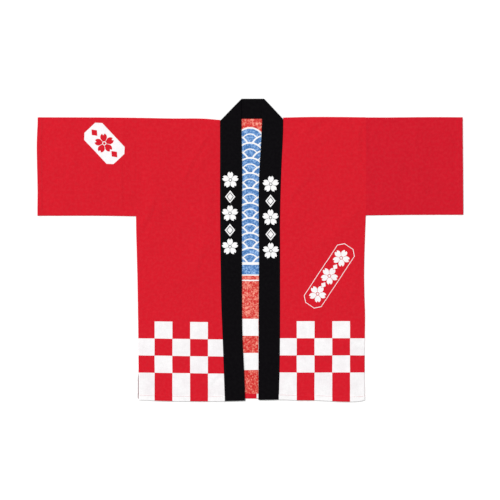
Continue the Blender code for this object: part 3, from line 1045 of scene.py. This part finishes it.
class Sleeve:
    """A sleeve's places and heights: a flat tube from the armhole out to the cuff."""

    def __init__(self, name, cuff_left):
        self.cuff_left = cuff_left
        self.panel = Panel(name, LEFT_SLEEVE_MARGINS if cuff_left else RIGHT_SLEEVE_MARGINS)
        # The rounded folds take the place of the closest points at both ends
        self.upper_run = steps(self.panel.length)[2:-2]

    def height(self, x, y):
        """Height of the upper face."""
        left, right, _, _ = self.panel.edges(x, y)
        to_cuff, to_seam = (left, right) if self.cuff_left else (right, left)
        z = self.panel.cloth_top(x, y) - ARMHOLE_DROP * near_seam(to_seam)
        return z + CUFF_RAISE * doubled(to_cuff, CUFF_TURN, CUFF_EASE)

    def place(self, y, share):
        """The place across at a share of the way from the armhole to the cuff."""
        left, right = self.panel.sides(y)
        at_seam = EDGE_INSET - ARMHOLE_CLOSE
        if self.cuff_left:
            return mix(right - at_seam, left + EDGE_INSET, share)
        return mix(left + at_seam, right - EDGE_INSET, share)

    def ring(self, share):
        """Once round the tube: points on its outside, on its inside, and laid flat."""
        panel = self.panel
        middle_x = self.place(panel.length / 2 + panel.bottom.mean(), share)
        bottom, top = panel.ends(middle_x)
        thick = CLOTH * (1 + TURN_THICK * doubled((1 - share) * panel.width, CUFF_TURN))
        radius = self.height(np.array([middle_x]), np.array([top - SLEEVE_FOLD]))[0] / 2
        low = bottom + radius
        high = top - radius
        under = mix(low, high, SLEEVE_UNDER)
        upper = mix(high, low, self.upper_run)
        folds = [np.full_like(HALF_TURN, middle) for middle in (high, low)]
        flat_y = np.concatenate([under, folds[0], upper, folds[1]])
        x = self.place(flat_y, share)
        tops = self.height(self.place(upper, share), upper)
        faces = []
        for depth in (0.0, thick):
            lower = np.full_like(under, depth)
            fold_y = (radius - depth) * np.cos(HALF_TURN)
            fold_z = (radius - depth) * np.sin(HALF_TURN)
            y = np.concatenate([under, high + fold_y, upper, low - fold_y])
            z = np.concatenate([lower, radius + fold_z, tops - depth, radius - fold_z])
            faces.append(np.column_stack([x, y, z]))
        return faces[0], faces[1], np.column_stack([x, flat_y])


def add_sleeve(name, cuff_left, materials):
    """A sleeve: one piece folded at the shoulder and sewn under the arm, its cuff turned in."""
    sleeve = Sleeve(name, cuff_left)
    panel = sleeve.panel
    rings = [sleeve.ring(share) for share in steps(panel.width, panel.width - CUFF_TURN)]
    outer, inner, flat = (np.array(grid) for grid in zip(*rings))
    slots = np.zeros((len(rings) - 1, outer.shape[1]), int)
    slots[:, : len(SLEEVE_UNDER) + len(HALF_TURN) // 2] = 2
    item = add_shell(name + "_cloth", outer, inner, flat, materials, outer_slot=slots, tube=True)
    finish_piece(item, name)
    return sleeve


class Collar:
    """The collar band's edges, folds and heights, read from its solid."""

    def __init__(self):
        self.solid = Solid("collar")
        self.top_y = self.solid.high[1]
        self.levels = np.linspace(self.solid.low[1] + BAND_LOW, BAND_TOP, OUTLINE_CUTS)
        cuts = [self.solid.cut(1, level)[:, 0] for level in self.levels]
        left = [cut[cut < COAT_MIDDLE] for cut in cuts]
        right = [cut[cut > COAT_MIDDLE] for cut in cuts]
        self.edge = {
            ("left", "seam"): np.array([cut.min() for cut in left]),
            ("left", "fold"): np.array([cut.max() for cut in left]),
            ("right", "fold"): np.array([cut.min() for cut in right]),
            ("right", "seam"): np.array([cut.max() for cut in right]),
        }
        self.turn = {side: self.read_turn(side) for side in ("left", "right")}

    def edge_x(self, side, kind, y):
        return np.interp(y, self.levels, self.edge[side, kind])

    def read_turn(self, side):
        """The slanting fold's two ends: on the band's folded edge, and on its sewn edge."""
        cuts = [self.solid.cut(1, level)[:, 0] for level in FOLD_LEVELS]
        edge = [cut.min() if side == "left" else cut.max() for cut in cuts]
        slope, start = np.polyfit(FOLD_LEVELS, edge, 1)
        seam_x = float(self.edge_x(side, "seam", BAND_TOP))
        return np.array([(slope * self.top_y + start, self.top_y), (seam_x, (seam_x - start) / slope)])

    def hem_y(self, x):
        """Lower end of the band."""
        return self.solid.cut(0, x)[:, 1].min()

    def neck_y(self, x):
        """Sewn edge of the band behind the neck."""
        cut = self.solid.cut(0, x)
        return cut[(cut[:, 1] > BAND_TOP) & (cut[:, 2] < NECK_UNDER)][:, 1].min()

    def band_top(self, side):
        """Height of a front band's upper face along its middle, from the hem up."""
        middle = (self.edge[side, "seam"] + self.edge[side, "fold"]) / 2
        return np.array([self.solid.top(x, y) for x, y in zip(middle, self.levels)])


def band_profile(width, tuck_outside=0.0, tuck_inside=0.0, pinch=1.0):
    """The doubled band across: (distance, height) of its face and of its lining side."""
    near_fold = np.linspace(BAND_FOLD, width - BAND_SEAM, BAND_COLUMNS)
    places = np.concatenate([near_fold, width - BAND_SEAM_PLACES])
    half = BAND / 2 * pinch
    drop = BAND_TUCK * near_seam(width - places)
    puff = BAND_PUFF * np.sin(math.pi * places / width)
    outside = half + puff - tuck_outside * drop
    inside = -(half + puff - tuck_inside * drop)
    profiles = []
    for depth in (0.0, CLOTH):
        radius = half - depth
        across = [places[::-1], BAND_FOLD - radius * np.cos(HALF_TURN), places]
        up = [outside[::-1] - depth, -radius * np.sin(HALF_TURN), inside + depth]
        profiles.append(np.column_stack([np.concatenate(across), np.concatenate(up)]))
    return profiles


def across_band(fold, seam, **shape):
    """The band's two profiles between its folded and sewn edges: places, and heights."""
    width = np.linalg.norm(seam - fold)
    profiles = band_profile(width, **shape)
    return [(fold + (seam - fold) * (profile[:, :1] / width), profile[:, 1]) for profile in profiles]


def front_band_rows(collar, side):
    """Rows of one front band from under its slanting fold to the hem."""
    first_fold, first_seam = fold_ends(collar, side, -math.pi / 2)
    within = BAND_INSIDE if side == "right" else -BAND_INSIDE
    hem_fold = collar.hem_y(collar.edge_x(side, "fold", BAND_FOOT) + within) + BAND_LIFT[side]
    hem_seam = collar.hem_y(collar.edge_x(side, "seam", BAND_FOOT) - within) + BAND_LIFT[side]
    tops = collar.band_top(side)
    rows = []
    for down in np.arange(1, BAND_STATIONS + 1) / BAND_STATIONS:
        fold_y = mix(first_fold[1], hem_fold, down)
        seam_y = mix(first_seam[1], hem_seam, down)
        fold = np.array((collar.edge_x(side, "fold", fold_y), fold_y))
        seam = np.array((collar.edge_x(side, "seam", seam_y), seam_y))
        pinch = mix(BAND_PINCHED, 1.0, ease((1 - down) * BAND_LENGTH / BAND_PINCH))
        tuck = ease(down / BAND_TUCKED)
        faces = []
        for spot, up in across_band(fold, seam, tuck_outside=tuck, pinch=pinch):
            middle = np.interp(spot[:, 1], collar.levels, tops) - BAND / 2
            z = middle + up + BAND_RIPPLE * ripple("collar", spot[:, 0], spot[:, 1])
            faces.append(np.column_stack([spot, z]))
        rows.append(faces)
    return rows


def turned_points(collar, side, angle, shares, offsets):
    """Points round a slanting fold, at shares across the band and offsets from its middle."""
    turn, end = collar.turn[side]
    along = (end - turn) / np.linalg.norm(end - turn)
    inward = np.array((-along[1], along[0]))
    if inward[1] > 0:
        inward = -inward
    reach = FOLD_RADIUS + BAND_MIDDLE
    radius = FOLD_RADIUS + offsets
    axis = turn + np.outer(shares, end - turn) + inward * reach - along * FOLD_RADIUS * angle
    spot = axis - np.outer(radius * math.cos(angle), inward)
    return np.column_stack([spot, reach - radius * math.sin(angle)])


def fold_ends(collar, side, angle):
    """The band's folded and sewn edges on a slanting fold, at an angle round it."""
    return turned_points(collar, side, angle, np.array([0.0, 1.0]), np.zeros(2))[:, :2]


def turned_rows(collar, side):
    """Rows of the band round one slanting fold, from the front band to the neck."""
    turn, end = collar.turn[side]
    width = np.linalg.norm(end - turn) / math.sqrt(2)
    rows = []
    for angle in np.linspace(-math.pi / 2, math.pi / 2, FOLD_STEPS + 1):
        faces = []
        for profile in band_profile(width):
            faces.append(turned_points(collar, side, angle, profile[:, 0] / width, profile[:, 1]))
        rows.append(faces)
    return rows


def neck_rows(collar):
    """Rows of the band behind the neck, from the left fold to the right, its inside up."""
    start_fold, start_seam = fold_ends(collar, "left", math.pi / 2)
    stop_fold, stop_seam = fold_ends(collar, "right", math.pi / 2)
    rows = []
    for share in np.arange(1, NECK_STATIONS) / NECK_STATIONS:
        fold = mix(start_fold, stop_fold, share)
        seam_x = mix(start_seam[0], stop_seam[0], share)
        seam = np.array((seam_x, collar.neck_y(seam_x)))
        tuck = ease(min(share, 1 - share) / NECK_TUCKED)
        profiles = across_band(fold, seam, tuck_inside=tuck)
        rows.append([np.column_stack([spot, BAND_MIDDLE - up]) for spot, up in profiles])
    return rows


def add_collar(materials):
    """The collar: one long doubled band, turned over a slanting fold at each shoulder."""
    collar = Collar()
    rows = front_band_rows(collar, "left")[::-1] + turned_rows(collar, "left") + neck_rows(collar)
    rows += turned_rows(collar, "right")[::-1] + front_band_rows(collar, "right")
    outer, inner = (np.array(grid) for grid in zip(*rows))
    x, y = outer[..., 0], outer[..., 1]
    on_left = x < COAT_MIDDLE
    from_left = collar.edge_x("left", "fold", y) - x
    from_right = x - collar.edge_x("right", "fold", y)
    lower = COLLAR_SHIFT * ease((x - COLLAR_SHIFT_FROM) / COLLAR_SHIFT_RUN)
    uv = np.stack([np.where(on_left, from_left, from_right), y + lower], -1)
    slots = np.ones((len(rows) - 1, outer.shape[1] - 1), int)
    slots[:, : BAND_COLUMNS + len(BAND_SEAM_PLACES)] = 0
    item = add_shell("collar_band", outer, inner, uv, materials, outer_slot=slots)
    width = np.mean(collar.edge["left", "fold"] - collar.edge["left", "seam"])
    finish_piece(item, "collar")
    return collar


def stitch_faces():
    """The faces of one stitch, by the numbers of its corners: its sides and its two ends."""
    last = (len(STITCH_RINGS) - 1) * STITCH_SIDES
    faces = []
    for ring in range(0, last, STITCH_SIDES):
        for side in range(STITCH_SIDES):
            a = ring + side
            b = ring + (side + 1) % STITCH_SIDES
            faces.append((a, b, b + STITCH_SIDES, a + STITCH_SIDES))
    return faces + [range(STITCH_SIDES)[::-1], range(last, last + STITCH_SIDES)]


def add_stitches(name, path, material):
    """A row of stitches along a path that lies on the cloth."""
    lengths = np.concatenate([[0], np.cumsum(np.linalg.norm(np.diff(path, axis=0), axis=1))])
    starts = np.arange(int(lengths[-1] / STITCH_PITCH)) * STITCH_PITCH
    first, last = (
        np.column_stack([np.interp(starts + reach, lengths, axis) for axis in path.T])
        for reach in (0.0, STITCH_LENGTH)
    )
    run = (last - first) / np.linalg.norm(last - first, axis=1)[:, None]
    aside = np.column_stack([-run[:, 1], run[:, 0], np.zeros(len(run))])
    corners = []
    for share, fat, lift in STITCH_RINGS:
        for angle in 2 * math.pi * np.arange(STITCH_SIDES) / STITCH_SIDES:
            outward = aside * math.cos(angle) + (0, 0, math.sin(angle))
            corners.append(mix(first, last, share) + (0, 0, lift) + STITCH_RADIUS * fat * outward)
    points = np.stack(corners, 1).reshape(-1, 3)
    bases = range(0, len(points), len(corners))
    faces = [[base + corner for corner in face] for base in bases for face in stitch_faces()]
    item = add_mesh(name, points, faces, points[:, :2], np.zeros(len(faces)), [material])
    finish_piece(item)


def hem_path(panel, height):
    """A line across a panel a little above its bottom edge, on its upper face."""
    ends = (panel.left[0] + HEM_STITCH_ENDS, panel.right[0] - HEM_STITCH_ENDS)
    x = np.linspace(*ends, HEM_STITCH_PLACES)
    y = panel.ends(x)[0] + HEM_STITCHES
    return np.column_stack([x, y, height(x, y)])


def cuff_path(sleeve):
    """A line down a sleeve a little before its cuff, on its upper face."""
    panel = sleeve.panel
    ends = (panel.bottom.mean() + CUFF_STITCH_ENDS, panel.top.mean() - CUFF_STITCH_ENDS)
    y = np.linspace(*ends, CUFF_STITCH_PLACES)
    left, right = panel.sides(y)
    x = left + CUFF_STITCHES if sleeve.cuff_left else right - CUFF_STITCHES
    return np.column_stack([x, y, sleeve.height(x, y)])


def collar_path(collar, side):
    """A line down a front band just inside its sewn edge."""
    y = np.linspace(collar.levels[0], COLLAR_STITCH_TOP, COLLAR_STITCH_PLACES)
    inward = 1 if side == "left" else -1
    x = collar.edge_x(side, "seam", y) + inward * COLLAR_STITCHES
    z = np.interp(y, collar.levels, collar.band_top(side)) - COLLAR_STITCH_SINK
    return np.column_stack([x, y, z])


def stitch_coat(fronts, back, sleeves, collar):
    """Hems, cuffs and the collar's sewn edges."""
    red = thread("red_thread", RED_THREAD)
    black = thread("black_thread", BLACK_THREAD)
    for panel, height in fronts + [back]:
        add_stitches(panel.name + "_hem_stitches", hem_path(panel, height), red)
    for sleeve in sleeves:
        add_stitches(sleeve.panel.name + "_cuff_stitches", cuff_path(sleeve), red)
    for side in ("left", "right"):
        add_stitches("collar_stitches_" + side, collar_path(collar, side), black)


def add_floor():
    """A plain pale table top."""
    mesh = bpy.data.meshes.new("table_top")
    corners = [(x * TABLE_REACH, y * TABLE_REACH, 0) for x, y in ((-1, -1), (1, -1), (1, 1), (-1, 1))]
    mesh.from_pydata(corners, [], [(0, 1, 2, 3)])
    item = add_object("table_top", mesh)
    item.location.z = -TABLE_DROP
    material = bpy.data.materials.new("pale_table")
    material.use_nodes = True
    shader = material.node_tree.nodes["Principled BSDF"]
    shader.inputs["Base Color"].default_value = TABLE
    shader.inputs["Roughness"].default_value = 0.9
    shader.inputs["Specular IOR Level"].default_value = 0.1
    mesh.materials.append(material)


def light_scene():
    """A bright even room with one large soft light from the upper left."""
    scene = bpy.context.scene
    scene.view_settings.view_transform = "Standard"
    scene.world = bpy.data.worlds.new("room")
    scene.world.use_nodes = True
    background = scene.world.node_tree.nodes["Background"]
    background.inputs["Color"].default_value = (1.0, 1.0, 1.0, 1.0)
    background.inputs["Strength"].default_value = ROOM_LIGHT
    data = bpy.data.lights.new("window", "AREA")
    data.shape = "DISK"
    data.size = WINDOW_SIZE
    data.energy = WINDOW_POWER
    item = add_object("window", data)
    item.location = WINDOW
    item.rotation_euler = (-Vector(WINDOW)).to_track_quat("-Z", "Y").to_euler()


def add_camera():
    """Straight above the coat, as the photograph was taken."""
    data = bpy.data.cameras.new("camera")
    data.sensor_width = SENSOR
    data.lens = SENSOR * CAMERA_HEIGHT / VIEW_WIDTH
    data.clip_end = CLIP_END
    item = add_object("camera", data)
    item.location = (VIEW_X, VIEW_Y, CAMERA_HEIGHT)
    bpy.context.scene.camera = item


def main():
    """Set the stage, and lay the coat's pieces on it from the back up."""
    add_camera()
    light_scene()
    add_floor()
    plain_inside = inside_cloth("red_cotton_inside")
    back_sides = [
        back_cloth("back_print", BACK_CHECKS),
        back_cloth("back_print_inside", BACK_CHECKS, inside=True),
        back_cloth("back_hem_print", BACK_HEM_CHECKS),
    ]
    left_sides = [
        front_cloth("left_front_print", LEFT_CHECKS),
        inside_cloth("left_front_inside", LEFT_CHECKS),
    ]
    right_sides = [
        front_cloth("right_front_print", RIGHT_CHECKS, FRONT_PLATE),
        inside_cloth("right_front_inside", RIGHT_CHECKS),
    ]
    red = plain_cloth("red_cotton", RED)
    # Painted shade: the right sleeve is coloured darker for the light's falloff
    right_shaded_red = plain_cloth("right_sleeve_cotton_shaded", RIGHT_SLEEVE_SHADED_RED)
    left_red = sleeve_cloth("left_sleeve_print", SLEEVE_PLATE)
    black = [collar_cloth("black_cotton_print", True), collar_cloth("black_cotton", False)]
    back = add_back(back_sides)
    fronts = [add_front("front_left", True, left_sides), add_front("front_right", False, right_sides)]
    sleeves = [
        add_sleeve("sleeve_left", True, [left_red, plain_inside, red]),
        add_sleeve("sleeve_right", False, [right_shaded_red, plain_inside, right_shaded_red]),
    ]
    stitch_coat(fronts, back, sleeves, add_collar(black))


main()
